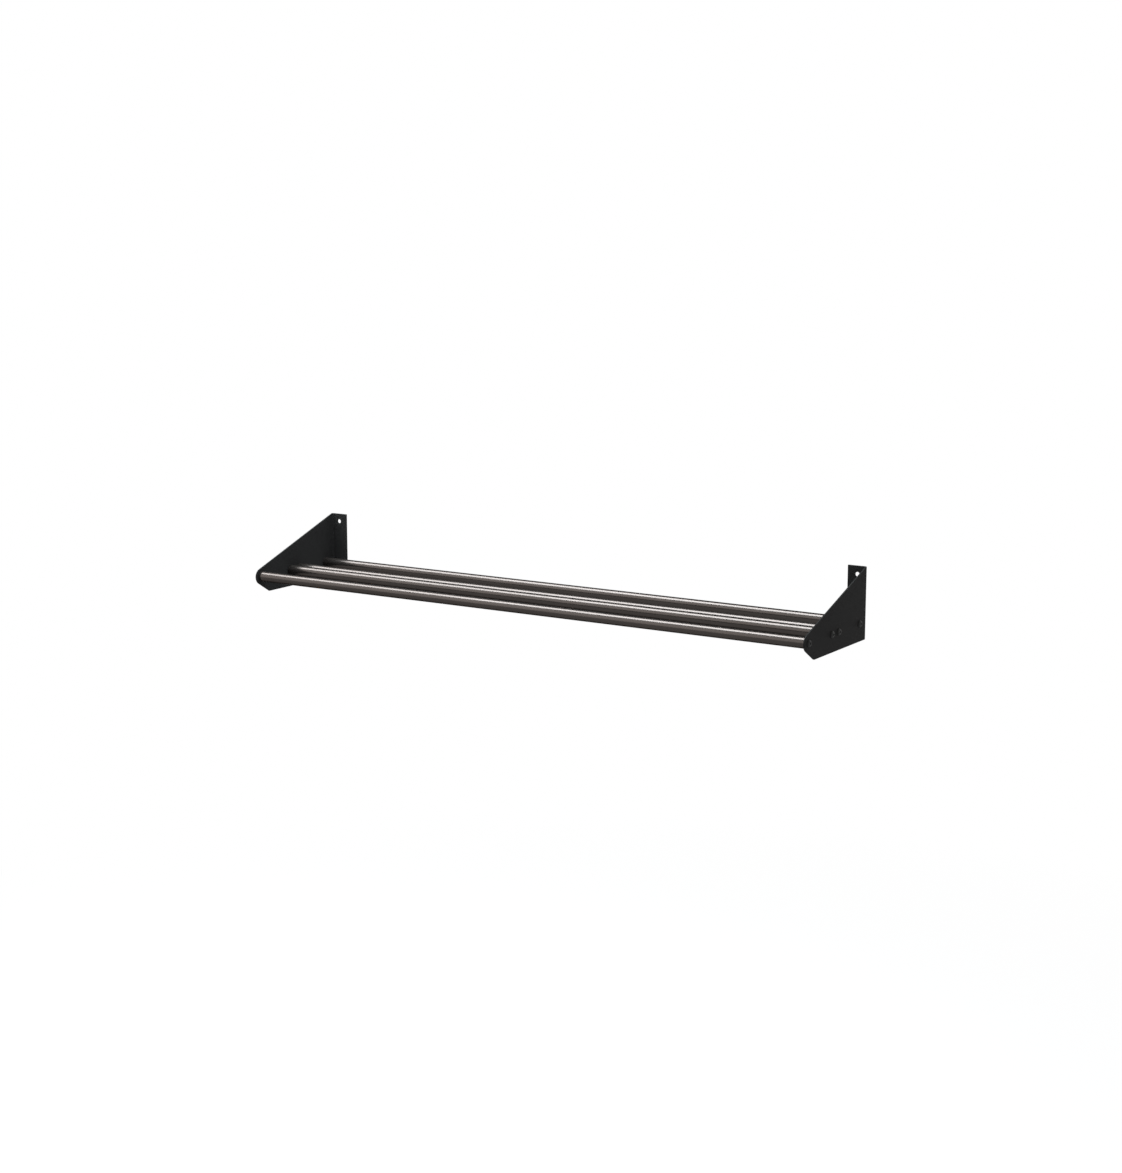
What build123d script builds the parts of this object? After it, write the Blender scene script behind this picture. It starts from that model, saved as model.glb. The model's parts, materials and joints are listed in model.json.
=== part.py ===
from build123d import *
import math
import os

# Wall rail for bottles: two folded sheet steel brackets joined by four round tubes.
# Millimetres. +X runs along the rail, +Y goes into the wall and +Z is up.
# The origin lies on the wall plane, halfway between the two wall holes.

# Overall sizes
rail_length = 900.0
bracket_height = 98.0
bracket_depth = 184.0

# Folded sheet
sheet = 2.0
bend_radius = 2.0
flange_width = 28.0
slope_setback = 3.0
undercut_angle = 31.5
heel_round = 2.0

# Wall holes, one in the middle of each flange
wall_hole_diameter = 6.4
wall_hole_below_top = 11.6

# Tubes
tube_diameter = 15.0
tube_wall = 1.2
tube_axis_height = 24.4
nose_margin = 4.5
front_bay = 67.0
inner_gap = 5.0
rear_gap = 14.0

# Threaded plug pressed into each tube end
plug_length = 16.0
plug_fit = 0.05

# Button head screw through the side plate into each plug
screw_diameter = 5.0
screw_reach = 12.0
screw_head_diameter = 9.5
screw_head_height = 2.75
screw_rim_height = 0.9
screw_crown_diameter = 5.4
screw_socket_width = 3.0
screw_socket_depth = 1.6
screw_hole_clearance = 0.25
thread_clearance = 0.05

# Places that follow from the sizes above
half_length = rail_length / 2
tube_radius = tube_diameter / 2
tube_length = rail_length - 2 * sheet
tube_bore = tube_diameter - 2 * tube_wall
nose_radius = tube_radius + nose_margin
wall_hole_height = bracket_height - wall_hole_below_top
bottom_z = -wall_hole_height
top_z = bottom_z + bracket_height
tube_z = bottom_z + tube_axis_height
front_y = -(bracket_depth - nose_radius)
inner_front_y = front_y + front_bay
inner_rear_y = inner_front_y + tube_diameter + inner_gap
rear_y = -(rear_gap + tube_radius)
tube_rows = {
    "front": front_y,
    "inner_front": inner_front_y,
    "inner_rear": inner_rear_y,
    "rear": rear_y,
}


def corner(face, x, y, z=0.0):
    """The vertex of a face that lies nearest to a point."""
    return face.vertices().sort_by_distance((x, y, z))[0]


def side_outline():
    """Outline of the side plate in the YZ plane, with the nose around the front tube."""
    shoulder = (-slope_setback, top_z)
    run = front_y - shoulder[0]
    drop = tube_z - shoulder[1]
    reach = math.hypot(run, drop)
    slope_length = math.sqrt(reach**2 - nose_radius**2)
    slope_angle = math.atan2(drop, run) - math.asin(nose_radius / reach)
    nose_top = (
        shoulder[0] + slope_length * math.cos(slope_angle),
        shoulder[1] + slope_length * math.sin(slope_angle),
    )
    nose_tip = (front_y - nose_radius, tube_z)
    undercut = math.radians(undercut_angle)
    nose_bottom = (
        front_y - nose_radius * math.sin(undercut),
        tube_z - nose_radius * math.cos(undercut),
    )
    heel = (nose_bottom[0] + (nose_bottom[1] - bottom_z) / math.tan(undercut), bottom_z)
    lines = [
        Polyline(heel, (0, bottom_z), (0, top_z), shoulder, nose_top),
        ThreePointArc(nose_top, nose_tip, nose_bottom),
        Line(nose_bottom, heel),
    ]
    face = make_face(lines)
    return fillet(corner(face, *heel), heel_round)


def fold_section():
    """Plan section of the right bracket: side plate, bend and rear flange."""
    outer_x = half_length
    inner_x = half_length - sheet
    edge_x = half_length - flange_width
    face = make_face(
        Polyline(
            (outer_x, -bracket_depth),
            (outer_x, 0),
            (edge_x, 0),
            (edge_x, -sheet),
            (inner_x, -sheet),
            (inner_x, -bracket_depth),
            close=True,
        )
    )
    face = fillet(corner(face, outer_x, 0), bend_radius + sheet)
    return fillet(corner(face, inner_x, -sheet), bend_radius)


def right_bracket():
    """Sheet folded along the wall edge, cut to the side outline and drilled."""
    folded = extrude(Pos(0, 0, bottom_z) * fold_section(), bracket_height)
    outline = Plane.YZ.offset(half_length - flange_width) * side_outline()
    bracket = folded & extrude(outline, flange_width)
    wall_hole = Cylinder(wall_hole_diameter / 2, 4 * sheet, rotation=(90, 0, 0))
    bracket -= Pos(half_length - flange_width / 2, 0, 0) * wall_hole
    screw_hole_radius = screw_diameter / 2 + screw_hole_clearance
    screw_hole = Cylinder(screw_hole_radius, 4 * sheet, rotation=(0, 90, 0))
    for row_y in tube_rows.values():
        bracket -= Pos(half_length, row_y, tube_z) * screw_hole
    return bracket


def tube():
    """One tube along X, cut square between the two side plates."""
    ring = Circle(tube_radius) - Circle(tube_bore / 2)
    return extrude(Plane.YZ.offset(-tube_length / 2) * ring, tube_length)


def right_plug():
    """Threaded plug along X, with its face flush with the right end of a tube."""
    radius = tube_bore / 2 - plug_fit
    plug = extrude(Plane.YZ * Circle(radius), -plug_length)
    thread = Cylinder(screw_diameter / 2 + thread_clearance, 4 * plug_length, rotation=(0, 90, 0))
    return Pos(half_length - sheet, 0, 0) * (plug - thread)


def right_screw():
    """Button head screw turned about X, with a hexagon socket in its crown."""
    shank_radius = screw_diameter / 2
    shank_end = -(sheet + screw_reach)
    half_section = make_face(
        Polyline(
            (0, shank_end),
            (shank_radius, shank_end),
            (shank_radius, 0),
            (screw_head_diameter / 2, 0),
            (screw_head_diameter / 2, screw_rim_height),
            (screw_crown_diameter / 2, screw_head_height),
            (0, screw_head_height),
            close=True,
        )
    )
    screw = revolve(Plane.XZ * half_section, Axis.Z)
    socket = RegularPolygon(screw_socket_width / 2, 6, major_radius=False)
    screw -= extrude(Pos(0, 0, screw_head_height) * socket, -screw_socket_depth)
    return Pos(half_length, 0, 0) * (Rot(0, 90, 0) * screw)


def left(piece):
    """The same piece seen in a mirror, at the left end of the rail."""
    return mirror(piece, Plane.YZ)


os.makedirs("parts", exist_ok=True)

nodes = {"right_bracket": right_bracket()}
nodes["left_bracket"] = left(nodes["right_bracket"])
for row, row_y in tube_rows.items():
    place = Pos(0, row_y, tube_z)
    nodes[f"{row}_tube"] = place * tube()
    nodes[f"{row}_right_plug"] = place * right_plug()
    nodes[f"{row}_left_plug"] = place * left(right_plug())
    nodes[f"{row}_right_screw"] = place * right_screw()
    nodes[f"{row}_left_screw"] = place * left(right_screw())

for name, solid in nodes.items():
    export_step(solid, f"parts/{name}.step")
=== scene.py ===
# %% [markdown]
# # A bottle rail: tubes between folded brackets
#
# The rail is a small shelf for a wall. Two black folded brackets carry four dark metal tubes, and a
# screw through each side plate holds each tube end. The construction model is loaded first, as a fixed
# frame, and every piece below is modelled in metres at the place that the frame gives.

# %% Load the frame
import json
import math

import bmesh
import bpy
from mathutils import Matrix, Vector


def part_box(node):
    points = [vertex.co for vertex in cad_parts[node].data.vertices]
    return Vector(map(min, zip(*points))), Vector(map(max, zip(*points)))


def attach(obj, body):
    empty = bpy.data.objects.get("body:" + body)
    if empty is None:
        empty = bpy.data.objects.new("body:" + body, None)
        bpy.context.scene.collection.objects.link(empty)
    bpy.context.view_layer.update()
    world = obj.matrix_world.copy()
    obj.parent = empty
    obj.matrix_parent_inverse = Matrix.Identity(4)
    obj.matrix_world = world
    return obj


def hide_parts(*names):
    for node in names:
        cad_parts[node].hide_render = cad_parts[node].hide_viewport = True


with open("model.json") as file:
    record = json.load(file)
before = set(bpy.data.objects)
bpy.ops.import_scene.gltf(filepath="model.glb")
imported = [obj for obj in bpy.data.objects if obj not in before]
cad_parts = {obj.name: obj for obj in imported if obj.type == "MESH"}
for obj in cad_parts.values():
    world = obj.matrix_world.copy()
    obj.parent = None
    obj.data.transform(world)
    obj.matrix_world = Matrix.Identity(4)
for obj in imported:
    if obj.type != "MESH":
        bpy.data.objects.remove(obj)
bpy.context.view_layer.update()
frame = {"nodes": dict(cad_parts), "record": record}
print("nodes in the frame:", len(frame["nodes"]))

# %% [markdown]
# ## Sizes from the frame
#
# A dressed piece has to sit exactly on the solid that it stands for, so nearly every size is read from
# the frame and not typed again. The boxes of a bracket and of the tubes give the sheet, the tubes' axes
# and the radius of the nose. What a box can't tell, such as a bend or a rounding, is written in the cell
# that uses it.

# %% Read the sizes
mm_per_m = 1000
rows = ["front", "inner_front", "inner_rear", "rear"]

bracket_low, bracket_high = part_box("right_bracket")
tube_low, tube_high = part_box("front_tube")
outer_x = bracket_high.x
flange_width = bracket_high.x - bracket_low.x
sheet = outer_x - tube_high.x
tube_radius = (tube_high.z - tube_low.z) / 2
axis_z = (tube_high.z + tube_low.z) / 2
row_y = {row: sum(corner.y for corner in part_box(f"{row}_tube")) / 2 for row in rows}
nose_radius = row_y["front"] - bracket_low.y

print(f"sheet {sheet * mm_per_m:.2f} mm, flange {flange_width * mm_per_m:.1f} mm")
print("tube rows from the wall, mm:", {row: round(-y * mm_per_m, 1) for row, y in row_y.items()})

# %% [markdown]
# ## Finish of the brackets: black powder coat
#
# The brackets are satin black, even and without wear. Powder coat melts into a skin with a fine pebbled
# surface, so the colour hardly varies and the character is in the bump and the roughness. Three noise
# textures on Object coordinates make it: a slow cloud for the colour, a pebble of about a millimetre and
# a much finer grain. A few helpers come first. Each one adds a node behind another, in the same tree.

# %% Node helpers
noise_range = (0.3, 0.7)


def new_finish(name):
    """A material, its Principled shader and its Object coordinates."""
    material = bpy.data.materials.new(name)
    material.use_nodes = True
    nodes = material.node_tree.nodes
    coordinates = nodes.new("ShaderNodeTexCoord")
    return material, nodes["Principled BSDF"], coordinates.outputs["Object"]


def join(source, target):
    """A link from an output to an input."""
    source.id_data.links.new(source, target)


def add_node(source, kind, entry, **settings):
    """A node fed by an output, with some of its other inputs set by name."""
    node = source.id_data.nodes.new(kind)
    for name, value in settings.items():
        node.inputs[name].default_value = value
    join(source, node.inputs[entry])
    return node


def add_noise(place, scale, detail):
    """A noise texture on given coordinates. Nearly all its values lie in noise_range."""
    return add_node(place, "ShaderNodeTexNoise", "Vector", Scale=scale, Detail=detail).outputs["Fac"]


def change_range(value, old_range, new_range):
    """Numbers moved from one range into another."""
    node = add_node(value, "ShaderNodeMapRange", "Value")
    for name, limits in (("From", old_range), ("To", new_range)):
        node.inputs[f"{name} Min"].default_value = limits[0]
        node.inputs[f"{name} Max"].default_value = limits[1]
    return node.outputs["Result"]


def two_tone(value, dark, light):
    """Two colours mixed by a texture value."""
    node = add_node(value, "ShaderNodeMix", "Factor")
    node.data_type = "RGBA"
    colour_inputs = [socket for socket in node.inputs if socket.type == "RGBA"]
    colour_inputs[0].default_value = (*dark, 1)
    colour_inputs[1].default_value = (*light, 1)
    return next(socket for socket in node.outputs if socket.type == "RGBA")


def add_bump(height, strength, distance, below=None):
    """A bump from a height, stacked on another bump if one is given."""
    node = add_node(height, "ShaderNodeBump", "Height", Strength=strength, Distance=distance)
    if below is not None:
        join(below, node.inputs["Normal"])
    return node.outputs["Normal"]


def connect(shader, colour, roughness, normal):
    """Feed the three inputs that vary in every finish here."""
    join(colour, shader.inputs["Base Color"])
    join(roughness, shader.inputs["Roughness"])
    join(normal, shader.inputs["Normal"])


print("node helpers ready")


# %% Powder coat
def powder_coat():
    """Satin black coat with a fine pebble."""
    material, shader, place = new_finish("black_powder_coat")
    cloud = add_noise(place, scale=14, detail=4)
    pebble = add_noise(place, scale=950, detail=2)
    grain = add_noise(place, scale=4200, detail=2)
    colour = two_tone(cloud, dark=(0.0132, 0.0131, 0.0131), light=(0.0168, 0.0165, 0.0163))
    roughness = change_range(pebble, noise_range, (0.44, 0.56))
    coarse = add_bump(pebble, strength=0.7, distance=0.0004)
    fine = add_bump(grain, strength=0.3, distance=0.0001, below=coarse)
    connect(shader, colour, roughness, fine)
    shader.inputs["Specular IOR Level"].default_value = 0.012
    return material


bracket_finish = powder_coat()
print("finish:", bracket_finish.name)

# %% [markdown]
# ## Finish of the tubes: dark satin plating
#
# The tubes are plated a dark warm grey with a satin polish, so each one mirrors the studio as one soft
# bright line. A metal shader with a dark base colour does that. Pure metal would turn pitch black where a
# tube mirrors the black plate, so about a sixth of the surface is left as plain dark body colour, and a
# dark Specular Tint keeps the rims of the tubes from flaring white. Noise that is stretched along the
# tube gives the faint lengthwise lines that drawing and polishing leave.


# %% Dark plating
def stretch(place, scale):
    """Coordinates scaled differently along each axis."""
    return add_node(place, "ShaderNodeMapping", "Vector", Scale=scale).outputs["Vector"]


def dark_plating():
    """Satin dark metal with faint lines along the tube."""
    material, shader, place = new_finish("dark_plated_metal")
    lines = add_noise(stretch(place, (3, 900, 900)), scale=1, detail=3)
    haze = add_noise(stretch(place, (9, 60, 60)), scale=1, detail=4)
    colour = two_tone(haze, dark=(0.0451, 0.0394, 0.0366), light=(0.0537, 0.0469, 0.0438))
    roughness = change_range(lines, noise_range, (0.22, 0.27))
    connect(shader, colour, roughness, add_bump(lines, strength=0.04, distance=0.00004))
    shader.inputs["Metallic"].default_value = 0.84
    shader.inputs["Specular IOR Level"].default_value = 0.0
    shader.inputs["Specular Tint"].default_value = (0.12, 0.12, 0.12, 1)
    return material


tube_finish = dark_plating()
print("finish:", tube_finish.name)

# %% [markdown]
# ## Finishes of the small steel pieces
#
# The screws are chemically blackened, which leaves a dull dark skin that is a little uneven. The plugs
# inside the tube ends are plain turned steel. The lathe leaves rings round the tube's axis, so a noise
# that varies quickly along X and slowly across it is enough for a piece that hardly shows.


# %% Blackened and turned steel
def blackened_steel():
    """Dull black skin on a steel screw."""
    material, shader, place = new_finish("blackened_steel")
    mottle = add_noise(place, scale=700, detail=4)
    grain = add_noise(place, scale=5200, detail=2)
    colour = two_tone(mottle, dark=(0.0250, 0.0248, 0.0245), light=(0.0330, 0.0325, 0.0321))
    roughness = change_range(mottle, noise_range, (0.36, 0.50))
    connect(shader, colour, roughness, add_bump(grain, strength=0.08, distance=0.00004))
    shader.inputs["Specular IOR Level"].default_value = 0.05
    return material


def turned_steel():
    """Bright steel with rings from the lathe."""
    material, shader, place = new_finish("turned_steel")
    rings = add_noise(stretch(place, (2600, 25, 25)), scale=1, detail=2)
    colour = two_tone(rings, dark=(0.36, 0.36, 0.365), light=(0.47, 0.47, 0.475))
    roughness = change_range(rings, noise_range, (0.28, 0.42))
    connect(shader, colour, roughness, add_bump(rings, strength=0.15, distance=0.00005))
    shader.inputs["Metallic"].default_value = 1.0
    return material


screw_finish = blackened_steel()
plug_finish = turned_steel()
print("finishes:", screw_finish.name, plug_finish.name)

# %% [markdown]
# ## The outline of the side plate
#
# The side plate is a triangle with a blunt nose. Its sloping top edge and its short slanted lower edge are
# both tangent to a circle round the front tube, so the nose has the same rim all the way round the tube
# end. Each straight edge is kept as a point on it and its outward direction, because a cut with Bisect
# asks for just these two.

# %% Straight edges of the outline
shoulder_setback = 0.003
undercut_angle = math.radians(31.5)
nose_centre = Vector((0, row_y["front"], axis_z))


def sloping_edge():
    """The long top edge, from the shoulder at the wall down to the nose circle."""
    shoulder = Vector((0, -shoulder_setback, bracket_high.z))
    to_nose = nose_centre - shoulder
    lean = math.asin(nose_radius / to_nose.length)
    angle = math.atan2(to_nose.z, to_nose.y) - lean
    return shoulder, Vector((0, math.sin(angle), -math.cos(angle)))


def undercut_edge():
    """The short lower edge, from the nose circle back to the heel."""
    outward = Vector((0, -math.sin(undercut_angle), -math.cos(undercut_angle)))
    return nose_centre + nose_radius * outward, outward


def meeting_point(first, second, inset=0.0):
    """Where two edges of the outline cross, each moved inwards by an inset."""
    (first_point, first_out), (second_point, second_out) = first, second
    first_reach = first_point.dot(first_out) - inset
    second_reach = second_point.dot(second_out) - inset
    spread = first_out.y * second_out.z - first_out.z * second_out.y
    y = (first_reach * second_out.z - second_reach * first_out.z) / spread
    z = (first_out.y * second_reach - second_out.y * first_reach) / spread
    return Vector((outer_x, y, z))


slope = sloping_edge()
lower = undercut_edge()
bottom = (Vector((0, 0, bracket_low.z)), Vector((0, 0, -1)))
nose_corner = meeting_point(slope, lower)
print("the slanted edges would meet", round(-nose_corner.y * mm_per_m, 1), "mm from the wall")

# %% [markdown]
# ## A few tools for working by hand
#
# Operators act on whatever is selected, so each step starts with nothing selected. These helpers do what
# the mouse would: make one piece active, fix its place in its mesh, pick vertices, edges or faces by where
# they lie, and turn all faces outwards.


# %% Hand tools
def start_clean():
    """Leave edit mode and select nothing."""
    if bpy.context.mode != "OBJECT":
        bpy.ops.object.mode_set(mode="OBJECT")
    bpy.ops.object.select_all(action="DESELECT")


def make_active(piece):
    """Select one object alone and make it the active one."""
    start_clean()
    piece.select_set(True)
    bpy.context.view_layer.objects.active = piece


def settle(piece):
    """Move the object's place and turn into its mesh, so that the object sits at the origin."""
    make_active(piece)
    bpy.ops.object.transform_apply(location=True, rotation=True, scale=True)


def pick(piece, kind, test):
    """In edit mode, select only the vertices, edges or faces that pass a test of their middle."""
    bpy.ops.mesh.select_mode(type=kind)
    bpy.ops.mesh.select_all(action="DESELECT")
    mesh = bmesh.from_edit_mesh(piece.data)
    for part in {"VERT": mesh.verts, "EDGE": mesh.edges, "FACE": mesh.faces}[kind]:
        corners = [part] if kind == "VERT" else part.verts
        middle = sum((corner.co for corner in corners), Vector()) / len(corners)
        part.select_set(test(middle, part))
    mesh.select_flush_mode()
    bmesh.update_edit_mesh(piece.data)


def face_outwards(piece):
    """Turn all faces of a closed or open skin outwards."""
    make_active(piece)
    bpy.ops.object.mode_set(mode="EDIT")
    bpy.ops.mesh.select_all(action="SELECT")
    bpy.ops.mesh.normals_make_consistent(inside=False)
    bpy.ops.object.mode_set(mode="OBJECT")


print("hand tools ready")

# %% [markdown]
# ## The folded bracket
#
# Each bracket is one sheet, bent once. It could be built from two boxes, but the bend would be missing,
# so it is made as a metalworker makes it: a flat plane is folded by extruding its wall edge and bevelling
# the fold, and the two slanted edges are then cut with Bisect. The plane starts a little too deep, so that
# both cuts run out into a sharp corner that the next step rounds. Edges are picked by their place, and two
# places that are nearer than a thousandth of a millimetre count as one.

# %% Fold the sheet and cut it
bend_radius = 0.002
bend_steps = 12
quarter_turn = math.pi / 2
near = 1e-6


def folded_sheet():
    """The outer skin of the right bracket: side plate, round bend and rear flange."""
    start_clean()
    depth = nose_radius - nose_corner.y
    middle = (outer_x, -depth / 2, (bracket_low.z + bracket_high.z) / 2)
    bpy.ops.mesh.primitive_plane_add(size=1, location=middle, rotation=(0, quarter_turn, 0))
    piece = bpy.context.object
    piece.name = "right_end_bracket"
    piece.scale = (bracket_high.z - bracket_low.z, depth, 1)
    settle(piece)
    bpy.ops.object.mode_set(mode="EDIT")
    pick(piece, "EDGE", lambda middle, edge: abs(middle.y) < near)
    bpy.ops.mesh.extrude_region_move(TRANSFORM_OT_translate={"value": (-flange_width, 0, 0)})
    pick(piece, "EDGE", lambda middle, edge: abs(middle.y) < near and abs(middle.x - outer_x) < near)
    bpy.ops.mesh.bevel(offset=bend_radius + sheet, segments=bend_steps, affect="EDGES", clamp_overlap=False)
    return piece


def cut_straight(point, outward):
    """Saw off what lies outside a straight edge."""
    bpy.ops.mesh.select_all(action="SELECT")
    bpy.ops.mesh.bisect(plane_co=point, plane_no=outward, clear_outer=True)


right_bracket = folded_sheet()
for edge in (slope, lower):
    cut_straight(*edge)
right_bracket.update_from_editmode()
print("cut sheet:", len(right_bracket.data.polygons), "faces")

# %% [markdown]
# ## Round the nose and the heel
#
# A vertex bevel would give a squashed arc at a sharp corner, so each corner is rounded as with a compass:
# the tip is cut off straight between the two tangent points, one of these points is spun round the centre
# to draw the true arc, and the gap between arc and cut is filled.

# %% Compass rounding
heel_round = 0.002
nose_steps = 30
heel_steps = 8
flat_angle = math.radians(1)


def round_corner(piece, before, after, radius, steps):
    """Replace the corner between two straight edges by a circular arc."""
    centre = meeting_point(before, after, inset=radius)
    start = centre + radius * before[1]
    turn = before[1].angle(after[1])

    def on_arc(vertex):
        return abs((vertex.co - centre).length - radius) < near

    cut_straight(start, (before[1] + after[1]).normalized())
    pick(piece, "VERT", lambda middle, vertex: (middle - start).length < near)
    bpy.ops.mesh.spin(steps=steps, angle=-turn, center=centre, axis=(1, 0, 0))
    bpy.ops.mesh.select_all(action="SELECT")
    bpy.ops.mesh.remove_doubles(threshold=near)
    pick(piece, "EDGE", lambda middle, edge: all(on_arc(vertex) for vertex in edge.verts))
    bpy.ops.mesh.edge_face_add()


round_corner(right_bracket, slope, lower, nose_radius, nose_steps)
round_corner(right_bracket, lower, bottom, heel_round, heel_steps)
bpy.ops.mesh.select_all(action="SELECT")
bpy.ops.mesh.dissolve_limited(angle_limit=flat_angle)
face_outwards(right_bracket)
outline_front = min(vertex.co.y for vertex in right_bracket.data.vertices)
print("front of the outline at", round(outline_front * mm_per_m, 2), "mm")

# %% [markdown]
# ## Thickness, holes and edges of the bracket
#
# Solidify turns the skin into sheet. The holes are then drilled with a round cutter, which is quick and
# leaves clean walls, and a very small bevel breaks every cut edge as the coat does. Weighted normals keep
# the big faces flat in the shading, where the bevel alone would leave a smear of light. The left bracket
# is the right one seen in a mirror.

# %% Tools for cutting and finishing
drill_sides = 64
drill_depth = 6 * sheet


def apply_modifier(piece, kind, **settings):
    """Add a modifier, set it up and apply it."""
    make_active(piece)
    bpy.ops.object.modifier_add(type=kind)
    modifier = piece.modifiers[-1]
    for name, value in settings.items():
        setattr(modifier, name, value)
    bpy.ops.object.modifier_apply(modifier=modifier.name)


def cut_away(piece, cutter):
    """Take the shape of a cutter out of a piece and throw the cutter away."""
    apply_modifier(piece, "BOOLEAN", operation="DIFFERENCE", object=cutter, solver="EXACT")
    bpy.data.objects.remove(cutter)


def drill(piece, place, radius, axis):
    """Drill a round hole through the sheet, along X or along Y."""
    start_clean()
    turn = {"X": (0, quarter_turn, 0), "Y": (quarter_turn, 0, 0)}[axis]
    bpy.ops.mesh.primitive_cylinder_add(
        vertices=drill_sides, radius=radius, depth=drill_depth, location=place, rotation=turn
    )
    cut_away(piece, bpy.context.object)


def soften_edges(piece, width, angle):
    """Break the edges that are sharper than an angle, and keep the flat faces flat in the shading."""
    apply_modifier(
        piece, "BEVEL", width=width, segments=2, limit_method="ANGLE", angle_limit=math.radians(angle)
    )
    make_active(piece)
    bpy.ops.object.shade_smooth()
    apply_modifier(piece, "WEIGHTED_NORMAL", keep_sharp=True, weight=100)


print(f"cutter {drill_depth * mm_per_m:.0f} mm long")


# %% Copies and hand-over
def copy_of(piece, name):
    """A copy with its own mesh."""
    make_active(piece)
    bpy.ops.object.duplicate()
    copy = bpy.context.object
    copy.name = name
    copy.data.name = name
    return copy


def mirrored(piece, name):
    """A copy with its own mesh, mirrored to the left end of the rail."""
    copy = copy_of(piece, name)
    bpy.ops.transform.resize(value=(-1, 1, 1), center_override=(0, 0, 0))
    settle(copy)
    face_outwards(copy)
    return copy


def hand_over(piece, node, material):
    """Give a piece its finish and let it stand for its node in the frame."""
    piece.data.materials.clear()
    piece.data.materials.append(material)
    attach(piece, "root")
    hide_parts(node)


print("ready to copy and hand over")

# %% Finish the brackets
wall_holes = next(mount for mount in frame["record"]["mounts"] if mount["name"] == "wall_screws")
wall_hole_x = wall_holes["dims"]["spacing_x_mm"] / 2 / mm_per_m
wall_hole_radius = wall_holes["dims"]["hole_r_mm"] / mm_per_m
screw_hole_radius = 0.00275
edge_break = 0.00025
sharp_angle = 35

apply_modifier(right_bracket, "SOLIDIFY", thickness=sheet, offset=-1, use_even_offset=True)
drill(right_bracket, (wall_hole_x, 0, 0), wall_hole_radius, "Y")
for row in rows:
    drill(right_bracket, (outer_x, row_y[row], axis_z), screw_hole_radius, "X")
left_bracket = mirrored(right_bracket, "left_end_bracket")
for piece, node in ((right_bracket, "right_bracket"), (left_bracket, "left_bracket")):
    soften_edges(piece, edge_break, sharp_angle)
    hand_over(piece, node, bracket_finish)
    print(piece.name, "faces", len(piece.data.polygons))

# %% [markdown]
# ## The tubes
#
# A tube is a ring drawn out along a line. A plain cylinder would have no wall, so a circle is extruded
# along the rail, Solidify adds the wall towards the inside, and a small bevel breaks the sawn ends. A
# hundred and twenty sides keep the one bright line on each tube straight and clean. One tube is modelled
# on the X axis as a pattern, and each row gets a copy.

# %% Draw the tubes
tube_wall = 0.0012
tube_sides = 120
tube_length = tube_high.x - tube_low.x


def drawn_tube():
    """A hollow tube along the X axis, as long as the room between the side plates."""
    start_clean()
    bpy.ops.mesh.primitive_circle_add(
        vertices=tube_sides,
        radius=tube_radius,
        location=(tube_low.x, 0, 0),
        rotation=(0, quarter_turn, 0),
    )
    piece = bpy.context.object
    piece.name = "pattern_tube"
    settle(piece)
    bpy.ops.object.mode_set(mode="EDIT")
    bpy.ops.mesh.select_all(action="SELECT")
    bpy.ops.mesh.extrude_region_move(TRANSFORM_OT_translate={"value": (tube_length, 0, 0)})
    face_outwards(piece)
    apply_modifier(piece, "SOLIDIFY", thickness=tube_wall, offset=-1, use_even_offset=True)
    soften_edges(piece, edge_break, sharp_angle)
    return piece


def put(piece, place, turn=(0, 0, 0)):
    """Move and turn a copy, and keep its place in its mesh."""
    piece.location = place
    piece.rotation_euler = turn
    settle(piece)


tube = drawn_tube()
tubes = [copy_of(tube, f"{row}_rail_tube") for row in rows]
bpy.data.objects.remove(tube)
for piece, row in zip(tubes, rows):
    put(piece, (0, row_y[row], axis_z))
    hand_over(piece, f"{row}_tube", tube_finish)
    print(piece.name, "faces", len(piece.data.polygons))

# %% [markdown]
# ## The screws
#
# A button head screw holds each tube end. It is turned work, so it starts as a disc whose face is drawn
# up in small steps that follow the dome, and the shank is drawn out of the other side. A six-sided cutter
# then presses the socket. One screw is modelled upright as a pattern, and each place gets a turned copy.

# %% Turn one screw
screw_low, screw_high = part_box("front_right_screw")
head_radius = (screw_high.z - screw_low.z) / 2
head_height = screw_high.x - outer_x
shank_length = outer_x - screw_low.x
shank_radius = 0.0025
crown_radius = 0.0023
tip_taper = 0.0007
screw_sides = 64
dome_steps = 8
nearly_level = 0.9


def draw_out(rise, scale):
    """Extrude the selected face along the screw's axis and scale it about that axis."""
    bpy.ops.mesh.extrude_region_move(TRANSFORM_OT_translate={"value": (0, 0, rise)})
    bpy.ops.transform.resize(value=(scale, scale, 1))


def turned_screw():
    """A button head screw along Z, with the underside of its head at height zero."""
    start_clean()
    bpy.ops.mesh.primitive_circle_add(vertices=screw_sides, radius=head_radius, fill_type="NGON")
    piece = bpy.context.object
    piece.name = "pattern_screw"
    bpy.ops.object.mode_set(mode="EDIT")
    bpy.ops.mesh.select_all(action="SELECT")
    radius = head_radius
    height = 0.0
    for step in range(1, dome_steps + 1):
        angle = quarter_turn * step / dome_steps
        next_radius = crown_radius + (head_radius - crown_radius) * math.cos(angle)
        next_height = head_height * math.sin(angle)
        draw_out(next_height - height, next_radius / radius)
        radius, height = next_radius, next_height
    pick(piece, "FACE", lambda middle, face: middle.z < near and abs(face.normal.z) > nearly_level)
    draw_out(0, shank_radius / head_radius)
    draw_out(tip_taper - shank_length, 1)
    draw_out(-tip_taper, (shank_radius - tip_taper) / shank_radius)
    face_outwards(piece)
    return piece


screw = turned_screw()
print("turned screw faces:", len(screw.data.polygons))

# %% Press the socket
socket_width = 0.003
socket_depth = 0.0016
screw_edge_break = 0.0001
screw_sharp_angle = 40


def press_socket(piece):
    """Sink a six-sided socket into the crown."""
    start_clean()
    corner_radius = socket_width / math.sqrt(3)
    bpy.ops.mesh.primitive_cylinder_add(
        vertices=6, radius=corner_radius, depth=2 * socket_depth, location=(0, 0, head_height)
    )
    cut_away(piece, bpy.context.object)


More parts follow.
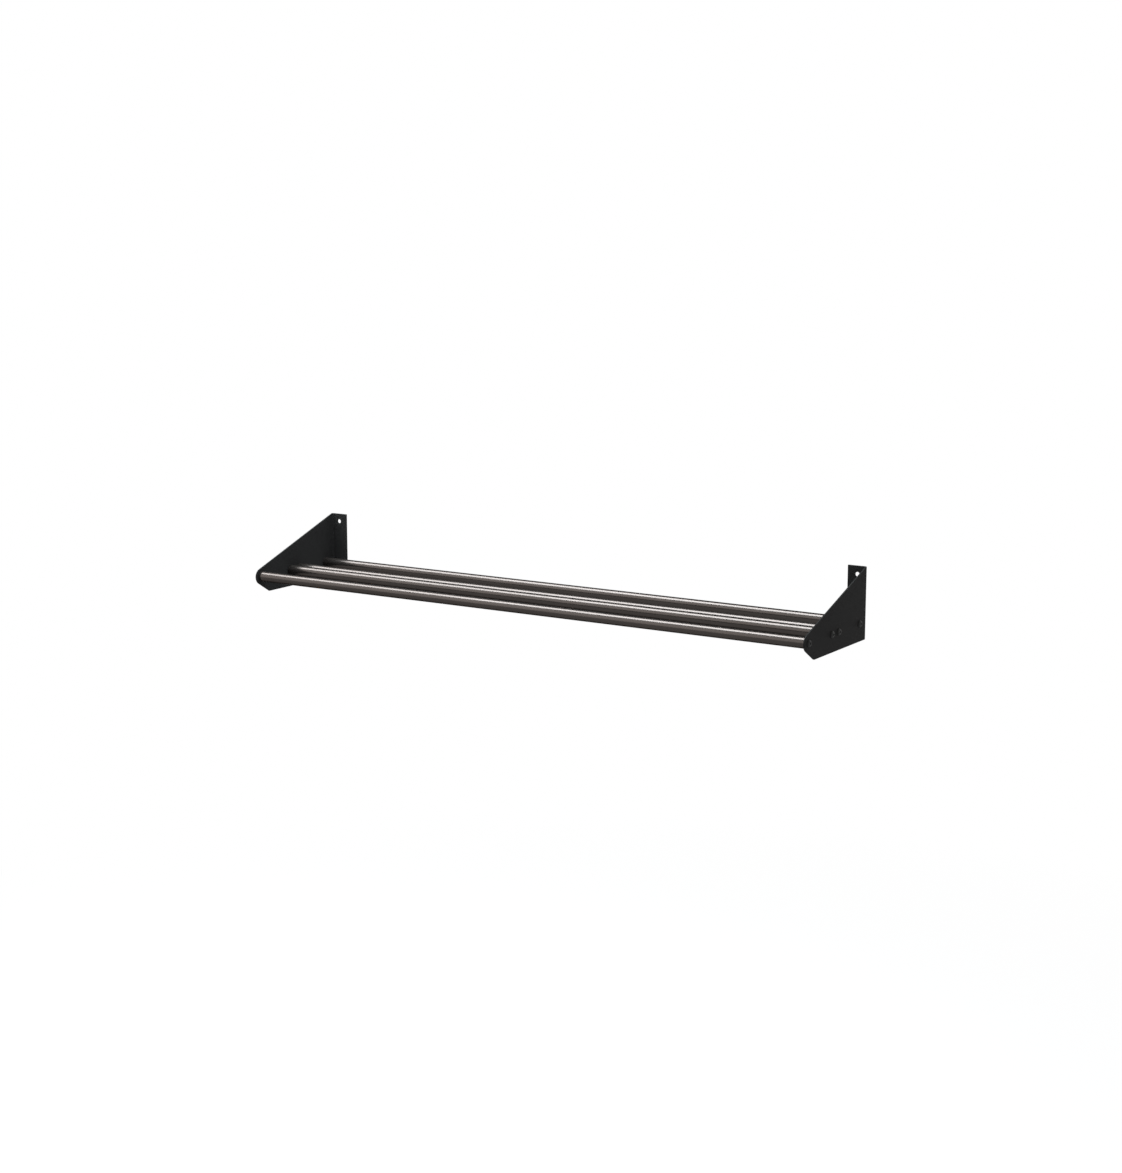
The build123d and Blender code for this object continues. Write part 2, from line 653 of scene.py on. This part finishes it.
press_socket(screw)
soften_edges(screw, screw_edge_break, screw_sharp_angle)
print("finished screw faces:", len(screw.data.polygons))

# %% Set the screws
sides = {"right": 1, "left": -1}
places = [(row, side) for row in rows for side in sides]
screws = [copy_of(screw, f"{row}_{side}_button_screw") for row, side in places]
bpy.data.objects.remove(screw)
for piece, (row, side) in zip(screws, places):
    put(piece, (sides[side] * outer_x, row_y[row], axis_z), (0, sides[side] * quarter_turn, 0))
    hand_over(piece, f"{row}_{side}_screw", screw_finish)
print("screws set:", len(screws))

# %% [markdown]
# ## The plugs
#
# A threaded plug sits inside each tube end, where the screw pulls on it. Its solid already has the right
# shape and hardly shows, so it stays as it is and only gets its turned steel finish.

# %% Finish the plugs
plugs = [node for name, node in frame["nodes"].items() if name.endswith("_plug")]
for plug in plugs:
    plug.data.materials.clear()
    plug.data.materials.append(plug_finish)
print("plugs finished:", len(plugs))

# %% [markdown]
# ## A white studio
#
# The rail hangs free in front of pure white. The floor lies well below it, as under a rail on a wall, and
# the world is white to the camera and to reflections, but dimmer as a source of light, so that black stays
# black. Near the middle the floor keeps part of its diffuse shading, so it still takes a shadow.

# %% Floor
floor_drop = 0.9
floor_span = 60
floor_white = (0.65, 0.65, 0.65, 1)
fade_distances = (0.4, 2.0)
glow_shares = (0.9, 1.0)


def add_math(source, other, operation):
    """One number worked out from two."""
    node = add_node(source, "ShaderNodeMath", 0)
    node.operation = operation
    join(other, node.inputs[1])
    return node.outputs["Value"]


def seen_directly(tree):
    """One for camera, mirror and glass rays, and zero for the rays that light the object."""
    path = tree.nodes.new("ShaderNodeLightPath").outputs
    mirror_or_glass = add_math(path["Is Glossy Ray"], path["Is Transmission Ray"], "MAXIMUM")
    return add_math(path["Is Camera Ray"], mirror_or_glass, "MAXIMUM")


def white_floor():
    """Matt white near the middle that blends into plain white further out."""
    material, shader, place = new_finish("studio_floor")
    tree = material.node_tree
    shader.inputs["Base Color"].default_value = floor_white
    shader.inputs["Roughness"].default_value = 0.9
    shader.inputs["Specular IOR Level"].default_value = 0.0
    glow = tree.nodes.new("ShaderNodeEmission")
    glow.inputs["Strength"].default_value = 1.0
    from_middle = add_node(place, "ShaderNodeVectorMath", 0)
    from_middle.operation = "LENGTH"
    glow_share = change_range(from_middle.outputs["Value"], fade_distances, glow_shares)
    blend = add_node(add_math(glow_share, seen_directly(tree), "MULTIPLY"), "ShaderNodeMixShader", 0)
    join(shader.outputs[0], blend.inputs[1])
    join(glow.outputs[0], blend.inputs[2])
    join(blend.outputs[0], tree.nodes["Material Output"].inputs["Surface"])
    return material


start_clean()
bpy.ops.mesh.primitive_plane_add(size=floor_span)
studio_floor = bpy.context.object
studio_floor.name = "studio_floor"
studio_floor.location = (0, 0, bracket_low.z - floor_drop)
studio_floor.data.materials.append(white_floor())
print("floor at", round(studio_floor.location.z, 3), "m")

# %% World
backdrop_light = 0.2

world = bpy.data.worlds.new("white_studio")
bpy.context.scene.world = world
world.use_nodes = True
background = world.node_tree.nodes["Background"]
background.inputs["Color"].default_value = (1, 1, 1, 1)
strength = change_range(seen_directly(world.node_tree), (0, 1), (backdrop_light, 1))
join(strength, background.inputs["Strength"])
print("world lights the rail at", backdrop_light)

# %% [markdown]
# ## Light
#
# One long soft box hangs over the rail, because the bright line on each tube sits high on its front
# shoulder: there the tube turns the view straight up. The box is shifted to the left, where that mirror
# direction leads, and is long enough for the line to run from bracket to bracket. Its light is cool, so
# the line is paler than the warm metal. A weak, slightly warm panel on the left front lets the line fade
# softly down the tube. A broad fill stands low and far off on the right, where no tube mirrors it. It gives
# the black side plates their even grey and leaves the flanges and the sloping edges darker. A weak box
# behind the rail gives the wall faces and the backs of the tubes some light, for a look from behind.

# %% Lamps
cool_white = (0.868, 0.952, 1.0)
warm_white = (1.0, 0.973, 0.949)
plain_white = (1.0, 1.0, 1.0)


def soft_box(name, place, aim, size, watts, colour):
    """A rectangular area lamp that looks at a point."""
    lamp = bpy.data.lights.new(name, "AREA")
    lamp.shape = "RECTANGLE"
    lamp.size, lamp.size_y = size
    lamp.energy = watts
    lamp.color = colour
    holder = bpy.data.objects.new(name, lamp)
    bpy.context.scene.collection.objects.link(holder)
    holder.location = place
    holder.rotation_euler = (aim - place).to_track_quat("-Z", "Y").to_euler()
    print("lamp:", name, watts, "W")


rail_middle = Vector((0, (row_y["front"] + row_y["rear"]) / 2, axis_z))
above_left = rail_middle + Vector((-0.76, 0, 0))
overhead_place = above_left + Vector((0, -0.05, 1.2))
panel_place = rail_middle + Vector((-1.06, -1.36, 0.8))
fill_place = rail_middle + Vector((7.4, -2.6, 1.2))
back_place = rail_middle + Vector((1.4, 1.5, 1.0))

soft_box("overhead_soft_box", overhead_place, above_left, size=(1.7, 0.78), watts=112, colour=cool_white)
soft_box("left_panel", panel_place, rail_middle, size=(2.2, 1.6), watts=20, colour=warm_white)
soft_box("right_fill", fill_place, rail_middle, size=(4.0, 4.0), watts=145, colour=plain_white)
soft_box("back_light", back_place, rail_middle, size=(2.0, 1.0), watts=16, colour=plain_white)

# %% [markdown]
# ## Camera
#
# The view was worked out from the straight edges of the brackets and tubes: their vanishing lines give
# the lens, and the bracket's known outline gives the angle and the distance. The camera looks down by
# about ten degrees from the right, and the frame is a little taller than it is wide.

# %% Camera
lens_mm = 66.52
sensor_mm = 36
view_azimuth = math.radians(32.677)
view_elevation = math.radians(10.311)
view_distance = 3.068
view_target = Vector((0.0030, -0.054, bracket_low.z + 0.0354))

camera_data = bpy.data.cameras.new("view")
camera_data.lens = lens_mm
camera_data.sensor_width = sensor_mm
camera_data.sensor_fit = "AUTO"
camera = bpy.data.objects.new("view", camera_data)
bpy.context.scene.collection.objects.link(camera)
towards_camera = Vector(
    (
        math.sin(view_azimuth) * math.cos(view_elevation),
        -math.cos(view_azimuth) * math.cos(view_elevation),
        math.sin(view_elevation),
    )
)
camera.location = view_target + view_distance * towards_camera
camera.rotation_euler = (quarter_turn - view_elevation, 0, view_azimuth)
bpy.context.scene.camera = camera
bpy.context.scene.view_settings.view_transform = "Standard"
print("camera at", [round(value, 3) for value in camera.location])

# %% [markdown]
# ## Finish
#
# The script ends out of edit mode, with nothing selected.

# %% Finish
start_clean()
